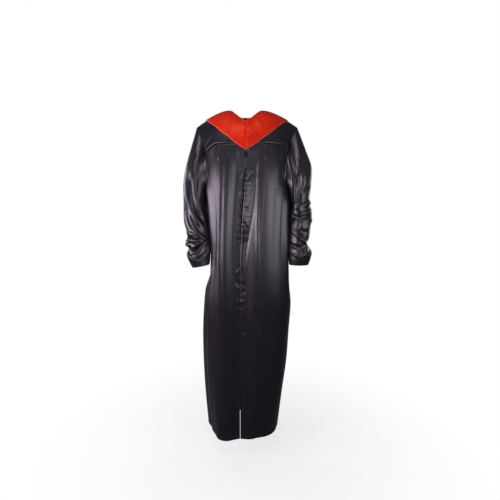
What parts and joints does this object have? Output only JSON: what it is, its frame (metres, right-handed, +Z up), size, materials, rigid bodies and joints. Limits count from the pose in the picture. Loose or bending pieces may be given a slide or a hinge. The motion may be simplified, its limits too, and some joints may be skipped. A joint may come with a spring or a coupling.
{
  "type": "graduation gown",
  "caption": "Long black satin graduation gown with a red V collar, yoke, gathered body, long sleeves and a front zip, held hollow as worn.",
  "frame": {"origin": "the middle of the neck base, level with the tops of the shoulders, where the wearer's shoulders hold the gown", "axes": "+Z up, the wearer faces -Y, +X towards the wearer's left"},
  "size_m": [0.5368, 0.2486, 1.3652],
  "materials": {
    "black_satin": "satin weave, sheen along the folds",
    "red_satin": "satin weave, bright",
    "zip_tape": "matt woven tape with moulded coil",
    "zip_metal": "black lacquer"
  },
  "bodies": {
    "gown": {"front_right": "black_satin", "front_left": "black_satin", "back": "black_satin", "yoke_front_right": "black_satin", "yoke_front_left": "black_satin", "yoke_back": "black_satin", "sleeve_right": "black_satin", "sleeve_left": "black_satin", "collar_front_right": "red_satin", "collar_front_left": "red_satin", "collar_back": "red_satin", "zip_tape_right": "zip_tape", "zip_tape_left": "zip_tape", "zip_chain": "zip_tape", "zip_slider": "zip_metal", "zip_stop": "zip_metal"},
    "pull": {"zip_pull": "zip_metal"}
  },
  "joints": [
    {"name": "pull_hinge", "type": "hinge", "parent": "gown", "child": "pull", "pos_m": [0, -0.1107, -0.1819], "axis": [-1, 0, 0], "range_deg": [0, 120]}
  ]
}
